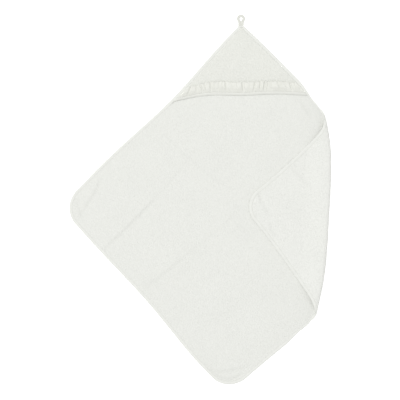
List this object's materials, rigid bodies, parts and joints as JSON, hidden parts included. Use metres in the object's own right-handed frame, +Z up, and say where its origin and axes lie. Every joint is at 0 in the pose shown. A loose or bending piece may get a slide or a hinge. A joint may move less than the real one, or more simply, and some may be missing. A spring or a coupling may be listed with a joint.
{
  "type": "hooded baby towel",
  "caption": "Square terry baby towel laid flat, with a sewn-on corner hood, a gathered frill at its mouth, bound edges, a hanging loop and one corner folded over.",
  "frame": {"origin": "centre of the footprint, on the surface that the towel lies on", "axes": "+Z up from that surface, +Y towards the hood's point and the hanging loop, +X towards the folded corner"},
  "size_m": [0.8352, 1.1648, 0.0183],
  "materials": {
    "terry": "looped cotton terry, off-white",
    "terry_hood": "looped cotton terry, off-white",
    "binding_tape": "plain-weave cotton bias tape",
    "ruffle_cotton": "soft gathered cotton muslin",
    "sewing_thread": "matt spun polyester thread",
    "loop_ribbon": "folded cotton tape, slightly warm white"
  },
  "bodies": {
    "towel": {"towel_panel": "terry", "edge_binding": "binding_tape", "edge_topstitch": "sewing_thread", "hood_panel": "terry_hood", "hood_band": "binding_tape", "band_topstitch": "sewing_thread", "ruffle": "ruffle_cotton", "loop_tails": "loop_ribbon", "loop_bar_tack": "sewing_thread", "fold_roll": "terry", "fold_binding_upper": "binding_tape", "fold_binding_lower": "binding_tape"},
    "corner": {"corner_flap": "terry", "flap_binding": "binding_tape", "flap_topstitch": "sewing_thread"},
    "loop": {"hanging_loop": "loop_ribbon"}
  },
  "joints": [
    {"name": "corner_fold", "type": "hinge", "parent": "towel", "child": "corner", "pos_m": [0.39035, -0.05536, 0.009], "axis": [0.06, 0.9982, 0], "range_deg": [0, 178], "deforming": ["fold_roll", "fold_binding_upper", "fold_binding_lower"]},
    {"name": "loop_swing", "type": "hinge", "parent": "towel", "child": "loop", "pos_m": [0.12378, 0.5525, 0.0027], "axis": [1, 0, 0], "range_deg": [0, 130], "deforming": ["loop_tails"]}
  ]
}
